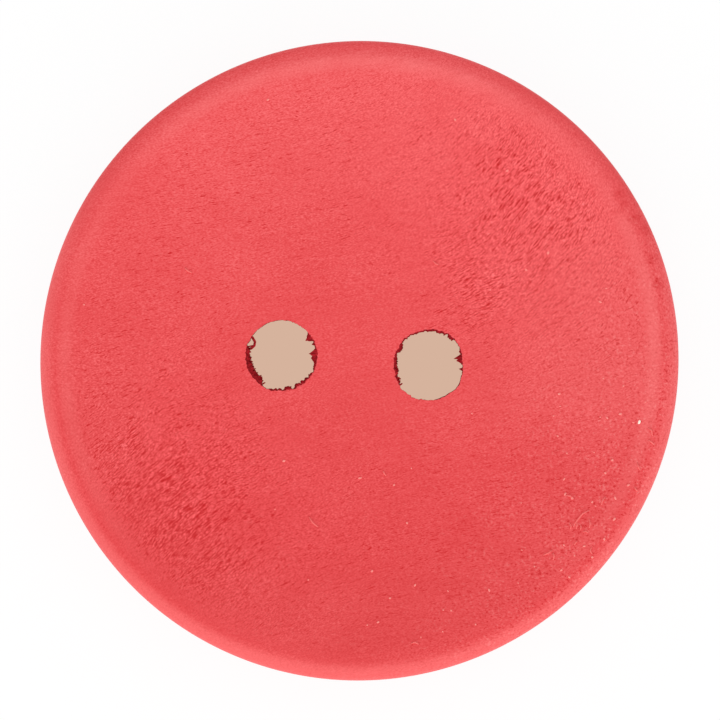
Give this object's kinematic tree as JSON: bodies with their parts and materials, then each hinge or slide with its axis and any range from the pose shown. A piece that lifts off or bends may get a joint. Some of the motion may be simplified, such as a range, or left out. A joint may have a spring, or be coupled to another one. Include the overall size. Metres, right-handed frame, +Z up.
{
  "type": "two-hole sew-through button",
  "caption": "Round turned wooden button with a shallow dished face, a rounded rim and a pair of sewing holes, dyed coral red, for sewing on to cloth.",
  "frame": {"origin": "centre of the flat back, on the surface that the button lies on", "axes": "+Z up out of the dished face, +X along the line of the two sewing holes"},
  "size_m": [0.025, 0.025, 0.004],
  "materials": {
    "dyed_wood": "coral red dye and thin matt lacquer on close-grained wood"
  },
  "bodies": {
    "root": {"button": "dyed_wood"}
  },
  "joints": []
}
